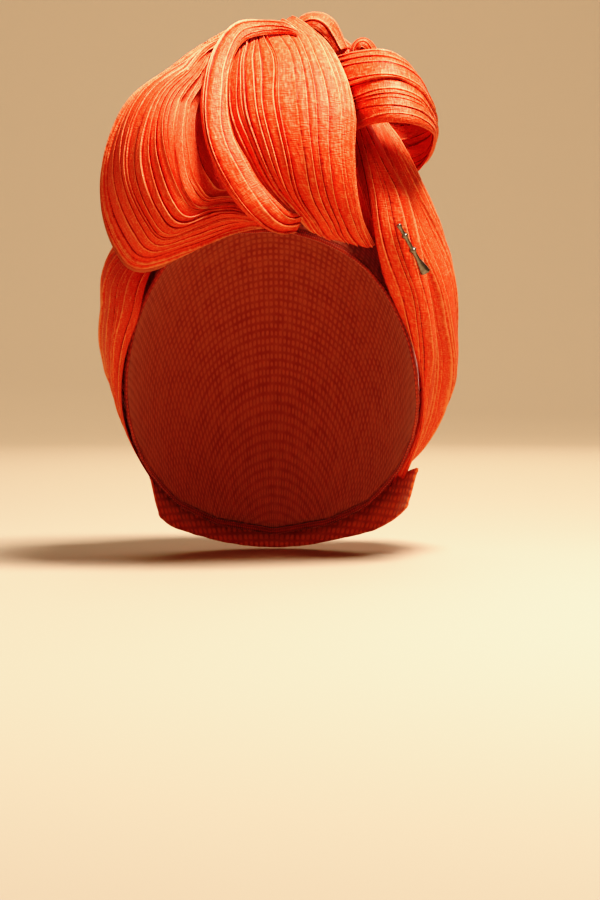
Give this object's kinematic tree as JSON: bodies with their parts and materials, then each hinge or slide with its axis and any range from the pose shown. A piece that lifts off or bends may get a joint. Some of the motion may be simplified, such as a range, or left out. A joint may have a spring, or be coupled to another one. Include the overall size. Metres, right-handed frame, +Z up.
{
  "type": "pleated cloth turban headpiece",
  "caption": "Tied turban of orange pleated crinkle cloth over a woven cap, with a padded front roll, a knot of folds and loops at the top and a woven band at the nape.",
  "frame": {"origin": "crown of the head that the turban is worn on, under the middle of the cap", "axes": "+Z up, -Y towards the front of the wearer, +X towards the side with the open loop"},
  "size_m": [0.2008, 0.2129, 0.2966],
  "materials": {
    "woven_cap": "matte loosely woven cap cloth",
    "cap_binding": "matte rolled cloth binding",
    "woven_band": "matte crepe band",
    "pleated_cloth": "finely pleated crinkle cloth with a soft sheen",
    "pin_metal": "dull brushed metal"
  },
  "bodies": {
    "root": {"base_cap": "woven_cap", "rim_binding": "cap_binding", "nape_band": "woven_band", "crown_wrap": "pleated_cloth", "side_wrap_left": "pleated_cloth", "side_wrap_right": "pleated_cloth", "front_strand_right": "pleated_cloth", "inner_strand": "pleated_cloth", "front_roll": "pleated_cloth", "centre_fold": "pleated_cloth", "front_panel": "pleated_cloth", "side_loop": "pleated_cloth", "top_loop_front": "pleated_cloth", "top_loop_middle": "pleated_cloth", "top_loop_back": "pleated_cloth", "bar_pin": "pin_metal"}
  },
  "joints": []
}
